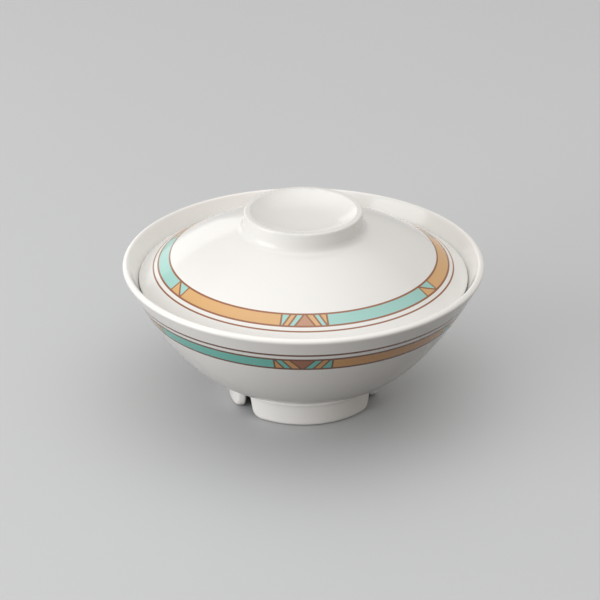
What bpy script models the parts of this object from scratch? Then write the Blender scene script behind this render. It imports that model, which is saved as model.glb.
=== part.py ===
"""Donburi bowl with a drop-in lid, both compression moulded in melamine.

Two pieces come apart on the bench: the bowl, a thin turned shell on a foot ring that
is cut by three drain notches, and the lid, a thin turned dome with a ring knob. The
lid has no flange: its rounded edge rests on the sloping inner wall of the bowl.

Units are metres, +Z is up, and the origin is on the table under the centre of the foot.
"""

import math

import bmesh
import bpy
from mathutils import Matrix, Vector

# Bowl shell
RIM_RADIUS = 0.0800                     # outermost radius of the lip
BOWL_HEIGHT = 0.0660                    # table to the crest of the lip
BOWL_WALL = 0.0030                      # thickness, square to the wall
WALL_FLARE = math.radians(30.3)         # lean of the wall from upright, at the lip
WALL_PULL = 0.0065                      # how far the wall keeps that lean before it curves
BELLY_HEIGHT = 0.0129                   # where the belly's underside meets the foot ring
BELLY_SLOPE = math.radians(16.0)        # slope of the belly from level, at the foot ring
BELLY_PULL = 0.0209                     # how far the belly keeps that slope
FLOOR_DROP = 0.0016                     # end of the inner wall down to the floor
FLOOR_FILLET = 0.0300                   # between the inner wall and the floor
FLOOR_THICKNESS = 0.0034                # floor of the bowl inside the foot ring

# Foot ring
FOOT_RADIUS = 0.0337                    # outer radius at the table
FOOT_WALL = 0.0044                      # thickness of the ring at the table
FOOT_DRAFT = math.radians(2.0)          # both sides of the ring widen upwards for the mould
FOOT_FILLET = 0.0055                    # outside, between the ring and the belly
FOOT_EDGE = 0.0016                      # rounding of the outer edge that stands on the table
RECESS_EDGE = 0.0008                    # rounding of the inner edge
RECESS_FILLET = 0.0020                  # inside, between the ring and the floor

# Drain notches through the foot ring
NOTCH_COUNT = 3
NOTCH_FIRST_ANGLE = math.radians(98.9)  # about +Z, from +X
NOTCH_WIDTH = 0.0121                    # between the sides where they would meet the table
NOTCH_HEIGHT = 0.0110                   # table to the crown of the notch
NOTCH_LEAN = math.radians(8.2)          # lean of the notch's sides from upright
NOTCH_CROWN_RADIUS = 0.0015             # between the sides and the crown
NOTCH_CORNER_RADIUS = 0.0020            # where the sides run out on to the table
NOTCH_RUNOUT = 0.0001                   # the corner's arc ends this far below the table
NOTCH_OVERRUN = 0.0040                  # the cutter passes the ring by this much

# Lid shell
LID_SEAT_DEPTH = 0.0074                 # crest of the lip down to the middle of the lid's edge
LID_CLEARANCE = 0.0003                  # lid's edge to the bowl's inner wall
LID_WALL = 0.0028                       # thickness, square to the dome
SKIRT_SLOPE = math.radians(32.0)        # slope of the lid's outer band from level
SKIRT_RADIUS = 0.0592                   # the straight band ends here and the dome begins
SKIRT_PULL = 0.0105                     # how far the dome keeps the band's slope
CROWN_RISE = 0.0231                     # middle of the lid's edge up to the foot of the knob
CROWN_SLOPE = math.radians(17.0)        # slope of the dome from level, at the knob
CROWN_PULL = 0.0105                     # how far the dome keeps that slope
CROWN_THICKNESS = 0.0033                # under the floor of the knob's dish

# Ring knob
KNOB_RADIUS = 0.0263                    # outer radius at the rim
KNOB_HEIGHT = 0.0081                    # over the foot of the knob
KNOB_DRAFT = math.radians(2.0)          # the outside of the knob widens downwards
KNOB_FILLET = 0.0040                    # outside, between the knob and the dome
KNOB_RIM_WIDTH = 0.0027
KNOB_EDGE = 0.0009                      # rounding of both edges of the rim
DISH_DEPTH = 0.0050                     # rim of the knob down to the floor of its dish
DISH_SLOPE = math.radians(42.0)         # slope of the dish's side from level
DISH_FILLET = 0.0160                    # between the side of the dish and its floor

# Fineness of the model
TURN_STEPS = 84
CURVE_STEPS = 10
DOME_STEPS = 7
ROUND_STEPS = 3
WELD_DISTANCE = 0.000001
SMOOTH_ANGLE = math.radians(35.0)

# Melamine
BOWL_COLOUR = (0.83, 0.81, 0.78, 1.0)
LID_COLOUR = (0.84, 0.82, 0.79, 1.0)
MELAMINE_ROUGHNESS = 0.14


def along(start, angle, distance):
    """Point at a distance from start, in a direction measured from the outward radius."""
    return start + distance * Vector((math.cos(angle), math.sin(angle)))


def arc(centre, radius, start, end, steps=ROUND_STEPS):
    """Points of a round stretch, both ends included; angles are from the outward radius."""
    return [along(centre, start + (end - start) * i / steps, radius) for i in range(steps + 1)]


def curve(start, start_pull, end_pull, end, steps):
    """Points of a cubic curve with the unit normal on the left of travel at each of them."""
    points = []
    normals = []
    for i in range(steps + 1):
        t = i / steps
        s = 1.0 - t
        points.append(s**3 * start + 3 * s * s * t * start_pull + 3 * s * t * t * end_pull + t**3 * end)
        tangent = s * s * (start_pull - start) + 2 * s * t * (end_pull - start_pull) + t * t * (end - end_pull)
        normals.append(Vector((-tangent.y, tangent.x)).normalized())
    return points, normals


def shifted(points, normals, distance):
    """The same points moved along their normals."""
    return [point + distance * normal for point, normal in zip(points, normals)]


def fillet(corner, before, after, radius):
    """Points that round a corner between the points before and after it."""
    back = (before - corner).normalized()
    ahead = (after - corner).normalized()
    half_angle = math.acos(max(-1.0, min(1.0, back.dot(ahead)))) / 2
    reach = radius / math.tan(half_angle)
    middle = corner + (back + ahead).normalized() * (radius / math.sin(half_angle))
    first = corner + back * reach - middle
    last = corner + ahead * reach - middle
    sweep = first.angle_signed(last)
    start = math.atan2(first.y, first.x)
    return arc(middle, radius, start, start - sweep)


def melamine(name, colour):
    """Glossy moulded melamine of one colour."""
    material = bpy.data.materials.new(name)
    material.use_nodes = True
    shader = material.node_tree.nodes["Principled BSDF"]
    shader.inputs["Base Color"].default_value = colour
    shader.inputs["Roughness"].default_value = MELAMINE_ROUGHNESS
    shader.inputs["Metallic"].default_value = 0.0
    return material


def turned(name, profile, material):
    """Solid turned about Z from a profile of (radius, height) that starts and ends on the axis."""
    shape = bmesh.new()
    verts = [shape.verts.new((radius, 0.0, height)) for radius, height in profile]
    edges = [shape.edges.new(pair) for pair in zip(verts, verts[1:])]
    bmesh.ops.spin(shape, geom=verts + edges, cent=(0, 0, 0), axis=(0, 0, 1),
                   angle=math.tau, steps=TURN_STEPS, use_duplicate=False)
    bmesh.ops.remove_doubles(shape, verts=shape.verts, dist=WELD_DISTANCE)
    bmesh.ops.recalc_face_normals(shape, faces=shape.faces)
    mesh = bpy.data.meshes.new(name)
    shape.to_mesh(mesh)
    shape.free()
    mesh.shade_smooth()
    mesh.set_sharp_from_angle(angle=SMOOTH_ANGLE)
    mesh.materials.append(material)
    piece = bpy.data.objects.new(name, mesh)
    bpy.context.scene.collection.objects.link(piece)
    return piece


def lip_centre():
    """Centre of the half round that closes the bowl's lip."""
    return Vector((RIM_RADIUS - BOWL_WALL / 2, BOWL_HEIGHT - BOWL_WALL / 2))


def foot_radius_at(height):
    """Outer radius of the foot ring at a height over the table."""
    return FOOT_RADIUS + height * math.tan(FOOT_DRAFT)


def foot_blend():
    """Round stretch from the belly's underside down to the outside of the foot ring."""
    corner = Vector((foot_radius_at(BELLY_HEIGHT), BELLY_HEIGHT))
    return fillet(corner, along(corner, BELLY_SLOPE, FOOT_FILLET), Vector((FOOT_RADIUS, 0.0)), FOOT_FILLET)


def bowl_wall():
    """Outer line of the bowl from under the lip to the foot's fillet, with inward normals."""
    top = along(lip_centre(), -WALL_FLARE, BOWL_WALL / 2)
    foot = foot_blend()[0]
    down_wall = -math.pi / 2 - WALL_FLARE
    points, left = curve(top, along(top, down_wall, WALL_PULL), along(foot, BELLY_SLOPE, BELLY_PULL),
                         foot, CURVE_STEPS)
    return points, [-normal for normal in left]


def inner_wall_at(height):
    """Radius of the bowl's inner wall at a height, and its lean from upright there."""
    inner = shifted(*bowl_wall(), BOWL_WALL)
    for upper, lower in zip(inner, inner[1:]):
        if upper.y >= height >= lower.y:
            lean = math.atan2(upper.x - lower.x, upper.y - lower.y)
            return upper.x - (upper.y - height) * math.tan(lean), lean
    raise ValueError("the lid's seat is outside the bowl's inner wall")


def bowl_profile():
    """Half section of the bowl: floor, inner wall, lip, outer wall, foot ring and recess."""
    outer, inward = bowl_wall()
    inner = shifted(outer, inward, BOWL_WALL)
    lip = arc(lip_centre(), BOWL_WALL / 2, math.pi - WALL_FLARE, -WALL_FLARE, 2 * ROUND_STEPS)
    floor_top = inner[-1].y - FLOOR_DROP
    floor_centre = Vector((0.0, floor_top))
    floor_corner = Vector((inner[-1].x - FLOOR_DROP / math.tan(BELLY_SLOPE), floor_top))
    floor = fillet(floor_corner, floor_centre, inner[-1], FLOOR_FILLET)
    recess_top = floor_top - FLOOR_THICKNESS
    blend = foot_blend()
    inner_foot = FOOT_RADIUS - FOOT_WALL
    recess_corner = Vector((inner_foot - recess_top * math.tan(FOOT_DRAFT), recess_top))
    outer_corner = Vector((FOOT_RADIUS, 0.0))
    inner_corner = Vector((inner_foot, 0.0))
    centre = Vector((0.0, recess_top))
    ring = fillet(outer_corner, blend[-1], inner_corner, FOOT_EDGE)
    ring += fillet(inner_corner, outer_corner, recess_corner, RECESS_EDGE)
    ring += fillet(recess_corner, inner_corner, centre, RECESS_FILLET)
    return [floor_centre] + floor + inner[::-1] + lip[1:-1] + outer + blend[1:] + ring + [centre]


def notch_half_width_at(height):
    """Half the width between the notch's straight sides at a height over the table."""
    return NOTCH_WIDTH / 2 - height * math.tan(NOTCH_LEAN)


def notch_cutter(index, angle):
    """Closed prism that cuts one drain notch: a level crown, leaning sides, round feet."""
    crown_up = NOTCH_HEIGHT - NOTCH_CROWN_RADIUS
    crown = Vector((notch_half_width_at(crown_up) - NOTCH_CROWN_RADIUS / math.cos(NOTCH_LEAN), crown_up))
    crown_arc = arc(crown, NOTCH_CROWN_RADIUS, NOTCH_LEAN, math.pi / 2)
    corner_up = NOTCH_CORNER_RADIUS - NOTCH_RUNOUT
    corner = Vector((notch_half_width_at(corner_up) + NOTCH_CORNER_RADIUS / math.cos(NOTCH_LEAN), corner_up))
    corner_arc = arc(corner, NOTCH_CORNER_RADIUS, 1.5 * math.pi, math.pi + NOTCH_LEAN, 2 * ROUND_STEPS)
    below = Vector((corner.x, -NOTCH_OVERRUN))
    right = [below] + corner_arc + crown_arc
    outline = right + [Vector((-point.x, point.y)) for point in reversed(right)]

    near = FOOT_RADIUS - FOOT_WALL - NOTCH_HEIGHT * math.tan(FOOT_DRAFT) - NOTCH_OVERRUN
    far = foot_radius_at(NOTCH_HEIGHT) + NOTCH_OVERRUN
    shape = bmesh.new()
    face = shape.faces.new([shape.verts.new((near, across, up)) for across, up in outline])
    grown = bmesh.ops.extrude_face_region(shape, geom=[face])
    moved = [item for item in grown["geom"] if isinstance(item, bmesh.types.BMVert)]
    bmesh.ops.translate(shape, verts=moved, vec=(far - near, 0, 0))
    bmesh.ops.recalc_face_normals(shape, faces=shape.faces)
    bmesh.ops.rotate(shape, verts=shape.verts, matrix=Matrix.Rotation(angle, 3, "Z"))
    mesh = bpy.data.meshes.new(f"notch_cutter_{index}")
    shape.to_mesh(mesh)
    shape.free()
    cutter = bpy.data.objects.new(mesh.name, mesh)
    bpy.context.scene.collection.objects.link(cutter)
    cutter.hide_render = True
    cutter.display_type = "WIRE"
    return cutter


def make_bowl():
    """Bowl with its foot ring, cut by the drain notches."""
    bowl = turned("bowl", bowl_profile(), melamine("bowl_melamine", BOWL_COLOUR))
    for index in range(NOTCH_COUNT):
        cutter = notch_cutter(index, NOTCH_FIRST_ANGLE + math.tau * index / NOTCH_COUNT)
        cutter.parent = bowl
        cut = bowl.modifiers.new(f"drain_notch_{index}", "BOOLEAN")
        cut.operation = "DIFFERENCE"
        cut.solver = "EXACT"
        cut.object = cutter
    return bowl


def knob_blend():
    """Round stretch from the outside of the knob down to the dome, over the lid's edge."""
    corner = Vector((KNOB_RADIUS + KNOB_HEIGHT * math.tan(KNOB_DRAFT), CROWN_RISE))
    rim = Vector((KNOB_RADIUS, CROWN_RISE + KNOB_HEIGHT))
    return fillet(corner, rim, along(corner, -CROWN_SLOPE, KNOB_FILLET), KNOB_FILLET)


def lid_dome(edge):
    """Outer line of the lid from its edge to the knob's fillet, with inward normals."""
    skirt_foot = along(edge, math.pi / 2 - SKIRT_SLOPE, LID_WALL / 2)
    up_skirt = math.pi - SKIRT_SLOPE
    run = (skirt_foot.x - SKIRT_RADIUS) / math.cos(SKIRT_SLOPE)
    skirt_top = along(skirt_foot, up_skirt, run)
    knob_foot = knob_blend()[-1]
    points, normals = curve(skirt_top, along(skirt_top, up_skirt, SKIRT_PULL),
                            along(knob_foot, -CROWN_SLOPE, CROWN_PULL), knob_foot, DOME_STEPS)
    return [skirt_foot] + points, [normals[0]] + normals


def lid_profile():
    """Half section of the lid, its height counted from the middle of its edge."""
    wall_radius, wall_lean = inner_wall_at(BOWL_HEIGHT - LID_SEAT_DEPTH)
    edge = Vector((wall_radius - (LID_CLEARANCE + LID_WALL / 2) / math.cos(wall_lean), 0.0))
    outer, inward = lid_dome(edge)
    under = shifted(outer, inward, LID_WALL)
    rolled = arc(edge, LID_WALL / 2, math.pi / 2 - SKIRT_SLOPE, -math.pi / 2 - SKIRT_SLOPE, 2 * ROUND_STEPS)

    blend = knob_blend()
    rim_top = CROWN_RISE + KNOB_HEIGHT
    rim_outer = Vector((KNOB_RADIUS, rim_top))
    rim_inner = Vector((KNOB_RADIUS - KNOB_RIM_WIDTH, rim_top))
    dish_floor = rim_top - DISH_DEPTH
    dish_corner = Vector((rim_inner.x - DISH_DEPTH / math.tan(DISH_SLOPE), dish_floor))
    dish_centre = Vector((0.0, dish_floor))
    top = fillet(dish_corner, dish_centre, rim_inner, DISH_FILLET)
    top += fillet(rim_inner, dish_corner, rim_outer, KNOB_EDGE)
    top += fillet(rim_outer, rim_inner, blend[0], KNOB_EDGE)
    top += blend

    under_centre = Vector((0.0, dish_floor - CROWN_THICKNESS))
    ceiling, _ = curve(under[-1], along(under[-1], math.pi - CROWN_SLOPE, CROWN_PULL),
                       under_centre + Vector((CROWN_PULL, 0.0)), under_centre, ROUND_STEPS)
    return [dish_centre] + top + outer[-2::-1] + rolled[1:-1] + under + ceiling[1:]


def make_lid():
    """Lid at rest in the bowl, with its origin on the axis, level with its seat."""
    lid = turned("lid", lid_profile(), melamine("lid_melamine", LID_COLOUR))
    lid.location.z = BOWL_HEIGHT - LID_SEAT_DEPTH
    return lid


def main():
    """Clears the scene and builds the two pieces."""
    for leftover in list(bpy.data.objects):
        bpy.data.objects.remove(leftover)
    make_bowl()
    make_lid()


main()
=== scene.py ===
"""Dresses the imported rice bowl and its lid.

The two moulded pieces get finely turned surfaces in place of their faceted solids, glossy
white melamine, and the printed border that runs round each of them.
"""

import logging
import math
from dataclasses import dataclass, field
from enum import Enum

import bpy
import numpy as np
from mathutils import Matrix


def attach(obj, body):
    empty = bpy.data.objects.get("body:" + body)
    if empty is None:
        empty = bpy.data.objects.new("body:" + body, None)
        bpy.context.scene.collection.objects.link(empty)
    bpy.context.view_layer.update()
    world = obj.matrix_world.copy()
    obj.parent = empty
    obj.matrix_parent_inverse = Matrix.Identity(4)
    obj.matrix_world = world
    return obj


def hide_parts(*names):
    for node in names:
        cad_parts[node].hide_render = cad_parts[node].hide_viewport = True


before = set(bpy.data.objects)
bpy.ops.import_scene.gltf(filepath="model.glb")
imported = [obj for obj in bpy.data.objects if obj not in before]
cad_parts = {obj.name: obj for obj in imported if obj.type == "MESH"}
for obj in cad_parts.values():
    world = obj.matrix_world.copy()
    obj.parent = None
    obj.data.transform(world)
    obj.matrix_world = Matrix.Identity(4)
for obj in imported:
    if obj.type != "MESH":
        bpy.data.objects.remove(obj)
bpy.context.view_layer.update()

Array = np.ndarray
Grid = tuple[Array, Array, Array]  # radii, heights and turn shifts, by row and column
Place = tuple[float, float, float]
Colour = tuple[float, float, float, float]
Socket = bpy.types.NodeSocket
NUMBER = "NodeSocketFloat"
COLOUR = "NodeSocketColor"
VECTOR = "NodeSocketVector"
MIX_SHARE, MIX_FIRST, MIX_SECOND, MIX_RESULT = 0, 6, 7, 2  # the colour sockets of a Mix node
SAME_POINT = 1e-7
BAKE_MAP = "OFBake"
LOG = logging.getLogger("donburi")


# Profiles: stretches of (radius, height) points, as arrays of two columns


def point(radius: float, height: float) -> Array:
    """One point of a half section."""
    return np.array((radius, height))


def towards(angle: float) -> Array:
    """Unit step in a half section, at an angle from the outward radius."""
    return np.array((math.cos(angle), math.sin(angle)))


def straight(start: Array, end: Array, steps: int) -> Array:
    """Straight stretch: start + t (end - start) for even t from 0 to 1.

    Args:
        start: First point.
        end: Last point.
        steps: Number of equal steps between them.

    Returns:
        The points, both ends included.
    """
    return start + np.linspace(0.0, 1.0, steps + 1)[:, None] * (end - start)


def arc(centre: Array, radius: float, start: float, end: float, steps: int) -> Array:
    """Round stretch: centre + radius (cos a, sin a) for even a from start to end.

    Args:
        centre: Centre of the circle.
        radius: Radius of the circle.
        start: First angle from the outward radius.
        end: Last angle.
        steps: Number of equal steps between them.

    Returns:
        The points, both ends included.
    """
    angles = np.linspace(start, end, steps + 1)
    return centre + radius * np.stack((np.cos(angles), np.sin(angles)), axis=1)


def cubic(start: Array, start_pull: Array, end_pull: Array, end: Array,
          steps: int) -> tuple[Array, Array]:
    """Cubic curve with four control points, and the unit normal on the left of travel.

    The point at t is (1-t)^3 start + 3 (1-t)^2 t start_pull + 3 (1-t) t^2 end_pull + t^3 end,
    and the normal is its derivative turned a quarter to the left.

    Args:
        start: First point.
        start_pull: Control point that sets the direction at the start.
        end_pull: Control point that sets the direction at the end.
        end: Last point.
        steps: Number of equal steps of t.

    Returns:
        The points and the normals, both ends included.
    """
    t = np.linspace(0.0, 1.0, steps + 1)[:, None]
    s = 1.0 - t
    points = s**3 * start + 3 * s * s * t * start_pull + 3 * s * t * t * end_pull + t**3 * end
    ahead = (s * s * (start_pull - start) + 2 * s * t * (end_pull - start_pull)
             + t * t * (end - end_pull))
    normals = np.stack((-ahead[:, 1], ahead[:, 0]), axis=1)
    return points, normals / np.linalg.norm(normals, axis=1, keepdims=True)


def squarish_end(centre: Array, radius: float, start: float, power: float, steps: int) -> Array:
    """End of a wall between half round and square, turning to the right through half a turn.

    In the wall's own axes the point at angle a is radius (s |cos a|^(2/power), |sin a|^(2/power)),
    where s is the sign of cos a. A power of 2 gives a half round.

    Args:
        centre: Middle of the end.
        radius: Half the wall's thickness.
        start: Direction of the first point, from the outward radius.
        power: How square the end is.
        steps: Number of steps.

    Returns:
        The points, both ends included.
    """
    angles = np.linspace(0.0, math.pi, steps + 1)
    flat, up = np.cos(angles), np.sin(angles)
    flat = np.sign(flat) * np.abs(flat) ** (2 / power)
    up = np.abs(up) ** (2 / power)
    across, out = towards(start), towards(start - math.pi / 2)
    return centre + radius * (flat[:, None] * across + up[:, None] * out)


def fillet(corner: Array, before: Array, after: Array, radius: float, steps: int) -> Array:
    """Round stretch that touches both sides of a corner.

    Its centre lies on the corner's bisector at radius / sin(half angle), and it touches the
    sides at radius / tan(half angle) from the corner.

    Args:
        corner: Where the two straight sides would meet.
        before: A point on the side that comes first.
        after: A point on the side that comes next.
        radius: Radius of the rounding.
        steps: Number of equal steps of the arc.

    Returns:
        The points from the first side to the next.
    """
    back = (before - corner) / np.linalg.norm(before - corner)
    ahead = (after - corner) / np.linalg.norm(after - corner)
    half = math.acos(float(np.clip(back @ ahead, -1.0, 1.0))) / 2
    bisector = (back + ahead) / np.linalg.norm(back + ahead)
    centre = corner + bisector * (radius / math.sin(half))
    first = corner + back * (radius / math.tan(half)) - centre
    last = corner + ahead * (radius / math.tan(half)) - centre
    start = math.atan2(first[1], first[0])
    sweep = math.atan2(first[0] * last[1] - first[1] * last[0], float(first @ last))
    return arc(centre, radius, start, start + sweep, steps)


def joined(*stretches: Array) -> Array:
    """One profile from stretches in order, with points that repeat left out.

    Args:
        stretches: Stretches, each of which begins where the one before it ends.

    Returns:
        The points of the whole profile.
    """
    profile = np.vstack(stretches)
    apart = np.linalg.norm(np.diff(profile, axis=0), axis=1) > SAME_POINT
    return profile[np.concatenate(([True], apart))]


def length_along(profile: Array) -> Array:
    """Length of a profile from its first point up to each of its points."""
    return np.concatenate(([0.0], np.cumsum(np.linalg.norm(np.diff(profile, axis=0), axis=1))))


# Turned meshes


def new_object(name: str, data: bpy.types.ID) -> bpy.types.Object:
    """New object at the origin, in the scene.

    Args:
        name: Name of the object.
        data: Its mesh, lamp or lens.

    Returns:
        The object.
    """
    made = bpy.data.objects.new(name, data)
    bpy.context.scene.collection.objects.link(made)
    return made


def even_grid(path: Array, columns: int) -> Grid:
    """Rows that are the same in every column and are not shifted."""
    radii, heights = (np.repeat(path[:, i:i + 1], columns, axis=1) for i in range(2))
    return radii, heights, np.zeros_like(radii)


def rows_between(values: Array, low: float, high: float, allowed: Array) -> tuple[int, int]:
    """First and last of the allowed rows whose value lies between two bounds.

    Args:
        values: One value a row.
        low: Lower bound.
        high: Upper bound.
        allowed: Whether each row may count.

    Returns:
        The two row numbers.
    """
    rows = np.flatnonzero(allowed & (values > low) & (values < high))
    return int(rows[0]), int(rows[-1])


@dataclass(frozen=True)
class Patch:
    """A rectangle of a turned grid: faces between two rows and between two columns."""

    first_row: int
    last_row: int
    first_column: int
    last_column: int


@dataclass
class TurnedSurface:
    """Closed surface of rows (profile points) and columns (turn angles), with a pole at each end.

    Row i and column j hold the point (r cos a, r sin a, z), where r and z come from the i-th
    profile point, which may be moved per column, and a from the j-th turn angle, to which a
    shift may be added. The profile is kept unmoved for the map, and the band is the first and
    last row of the print.
    """

    name: str
    radii: Array
    heights: Array
    turns: Array
    profile: Array
    band: tuple[int, int]
    shifts: Array
    band_quarters: int = 4
    band_share: float = 0.47
    map_gap: float = 0.006

    def points(self) -> Array:
        """All vertices: the first pole, the rows between the poles, the last pole.

        Returns:
            One row of x, y and z a vertex.
        """
        turned = (self.turns[None] + self.shifts)[1:-1]
        ring = self.radii[1:-1, :, None] * np.stack((np.cos(turned), np.sin(turned)), axis=2)
        rows = np.concatenate((ring, self.heights[1:-1, :, None]), axis=2).reshape(-1, 3)
        poles = np.array(((0.0, 0.0, self.profile[0, 1]), (0.0, 0.0, self.profile[-1, 1])))
        return np.vstack((poles[:1], rows, poles[1:]))

    def faces(self) -> tuple[Array, Array, Array]:
        """Vertex numbers of the first pole's fan, the quads and the last pole's fan.

        Returns:
            Three arrays with one row a face, ordered row by row and column by column.
        """
        columns = len(self.turns)
        rows = len(self.profile) - 2
        number = 1 + np.arange(rows * columns).reshape(rows, columns)
        after = np.roll(number, -1, axis=1)
        quads = np.stack((number[:-1], number[1:], after[1:], after[:-1]), axis=2).reshape(-1, 4)
        top = np.stack((np.zeros(columns, int), number[0], after[0]), axis=1)
        bottom = np.stack((number[-1], np.full(columns, 1 + rows * columns), after[-1]), axis=1)
        return top, quads, bottom

    def patches(self) -> list[tuple[Patch, float]]:
        """Parts of the surface that are laid flat on the map, one above the other.

        The printed band is cut into quarters that run the whole width of the map, so that a
        texture holds its fine lines. The surface before it and after it take one strip each.

        Returns:
            The patches, each with its share of the map's height.
        """
        columns = len(self.turns)
        start, end = self.band
        last = len(self.profile) - 1
        length = length_along(self.profile)
        before, after = length[start], length[last] - length[end]
        strips = self.band_quarters + 2
        rest = (1.0 - (strips + 1) * self.map_gap - self.band_share) / (before + after)
        cuts = np.linspace(0, columns, self.band_quarters + 1).astype(int)
        quarter = self.band_share / self.band_quarters
        return [
            (Patch(0, start, 0, columns), before * rest),
            (Patch(end, last, 0, columns), after * rest),
            *((Patch(start, end, int(a), int(b)), quarter) for a, b in zip(cuts, cuts[1:])),
        ]

    def flat_places(self) -> Array:
        """Place of every face corner on the map, in the order of the faces.

        Within a patch, across is the share of its turn and up is the share of its length
        along the profile.

        Returns:
            Two numbers a corner, all in one row.
        """
        columns = len(self.turns)
        rows = len(self.profile) - 1
        turns = np.concatenate((self.turns, self.turns[:1] + math.tau))
        length = length_along(self.profile)
        across = np.empty((rows, columns, 2))
        up = np.empty((rows, columns, 2))
        floor = self.map_gap
        for patch, share in self.patches():
            r0, r1, c0, c1 = patch.first_row, patch.last_row, patch.first_column, patch.last_column
            turn = (turns[c0:c1 + 1] - turns[c0]) / (turns[c1] - turns[c0])
            rise = (length[r0:r1 + 1] - length[r0]) / (length[r1] - length[r0])
            wide = self.map_gap + (1.0 - 2 * self.map_gap) * turn
            across[r0:r1, c0:c1, 0], across[r0:r1, c0:c1, 1] = wide[:-1], wide[1:]
            high = floor + share * rise
            up[r0:r1, c0:c1, 0], up[r0:r1, c0:c1, 1] = high[:-1, None], high[1:, None]
            floor += share + self.map_gap
        left, right = across[..., 0], across[..., 1]
        near, far = up[..., 0], up[..., 1]
        quads = np.stack((left, near, left, far, right, far, right, near), axis=2)[1:-1]
        top = np.stack(((left + right) / 2, near, left, far, right, far), axis=2)[0]
        bottom = np.stack((left, near, (left + right) / 2, far, right, near), axis=2)[-1]
        return np.concatenate((top.ravel(), quads.ravel(), bottom.ravel()))

    def piece(self) -> bpy.types.Object:
        """Puts the surface into a smooth mesh with its map, at the origin.

        Returns:
            The new object, linked to the scene.
        """
        faces = [face for part in self.faces() for face in part.tolist()]
        mesh = bpy.data.meshes.new(self.name)
        mesh.from_pydata(self.points().tolist(), [], faces)
        mesh.uv_layers.new(name=BAKE_MAP, do_init=False)
        mesh.uv_layers[BAKE_MAP].uv.foreach_set("vector", self.flat_places().astype(np.float32))
        mesh.validate()
        mesh.shade_smooth()
        return new_object(self.name, mesh)


# Finishes


class NodeBench:
    """Adds nodes to one node tree and joins them."""

    def __init__(self, tree: bpy.types.NodeTree) -> None:
        """Works on a tree, which keeps what it holds."""
        self.tree = tree

    def add(self, kind: str, **settings: object) -> bpy.types.Node:
        """New node of a kind, with its settings.

        Args:
            kind: Blender's name of the kind of node.
            settings: Values of the node's own properties, by name.

        Returns:
            The node.
        """
        node = self.tree.nodes.new(kind)
        for name, value in settings.items():
            setattr(node, name, value)
        return node

    def feed(self, socket: Socket, value: object) -> None:
        """Links an input to another node's output, or sets the input's own value.

        Args:
            socket: The input.
            value: An output socket, or a plain value.
        """
        if isinstance(value, Socket):
            self.tree.links.new(value, socket)
        else:
            socket.default_value = value

    def math(self, operation: str, *values: object) -> Socket:
        """Result of a Math node.

        Args:
            operation: Blender's name of the operation.
            values: Numbers or sockets, in the node's order.

        Returns:
            The node's output.
        """
        node = self.add("ShaderNodeMath", operation=operation)
        for socket, value in zip(node.inputs, values):
            self.feed(socket, value)
        return node.outputs[0]

    def rising(self, value: object, low: object, high: object) -> Socket:
        """Smooth step from 0 where a value is low to 1 where it is high.

        Args:
            value: The value that is looked at.
            low: Where the step begins.
            high: Where it ends.

        Returns:
            The step's height.
        """
        node = self.add("ShaderNodeMapRange", interpolation_type="SMOOTHSTEP", clamp=True)
        for name, given in (("Value", value), ("From Min", low), ("From Max", high)):
            self.feed(node.inputs[name], given)
        return node.outputs["Result"]

    def mix(self, share: object, first: object, second: object, blend: str = "MIX") -> Socket:
        """Colour between two, or the first blended with the second.

        Args:
            share: Share of the second colour.
            first: First colour.
            second: Second colour.
            blend: Blender's name of the way of blending.

        Returns:
            The colour.
        """
        node = self.add("ShaderNodeMix", data_type="RGBA", blend_type=blend)
        for place, value in ((MIX_SHARE, share), (MIX_FIRST, first), (MIX_SECOND, second)):
            self.feed(node.inputs[place], value)
        return node.outputs[MIX_RESULT]

    def grey(self, tone: Socket) -> Socket:
        """Grey colour of a tone.

        Args:
            tone: Brightness between 0 and 1.

        Returns:
            The colour.
        """
        node = self.add("ShaderNodeCombineColor")
        for socket in node.inputs:
            self.feed(socket, tone)
        return node.outputs[0]

    def noise(self, place: Socket, scale: float, detail: float, roughness: float = 0.5) -> Socket:
        """Fractal noise between 0 and 1.

        Args:
            place: Where it is read.
            scale: Number of its coarsest waves in a metre.
            detail: Number of finer layers.
            roughness: Strength of each finer layer against the one before.

        Returns:
            The noise.
        """
        node = self.add("ShaderNodeTexNoise")
        settings = {"Vector": place, "Scale": scale, "Detail": detail, "Roughness": roughness}
        for name, value in settings.items():
            self.feed(node.inputs[name], value)
        return node.outputs["Fac"]


def new_material(name: str) -> tuple[bpy.types.Material, NodeBench, bpy.types.Node]:
    """Node material with its Principled shader.

    Args:
        name: Name of the material.

    Returns:
        The material, a bench for its tree, and its shader.
    """
    material = bpy.data.materials.new(name)
    material.use_nodes = True
    return material, NodeBench(material.node_tree), material.node_tree.nodes["Principled BSDF"]


def new_group(name: str, inputs: dict[str, str],
              outputs: dict[str, str]) -> tuple[NodeBench, dict[str, Socket], bpy.types.Node]:
    """Empty shader node group with named sockets.

    Args:
        name: Name of the group.
        inputs: Socket names with their socket types.
        outputs: Socket names with their socket types.

    Returns:
        A bench for its tree, its inputs by name, and its output node.
    """
    tree = bpy.data.node_groups.new(name, "ShaderNodeTree")
    for side, sockets in (("INPUT", inputs), ("OUTPUT", outputs)):
        for socket, kind in sockets.items():
            tree.interface.new_socket(socket, in_out=side, socket_type=kind)
    bench = NodeBench(tree)
    given = bench.add("NodeGroupInput")
    result = bench.add("NodeGroupOutput")
    return bench, {socket.name: socket for socket in given.outputs if socket.name}, result


@dataclass(frozen=True)
class Inks:
    """Colours of the printed border. The lid's are given lighter than the bowl's, with a painted
    sheen in them.
    """

    tan: Colour = (0.660, 0.325, 0.090, 1.0)
    turquoise: Colour = (0.140, 0.535, 0.460, 1.0)
    brown: Colour = (0.345, 0.118, 0.048, 1.0)
    outline: Colour = (0.150, 0.050, 0.024, 1.0)


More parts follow.
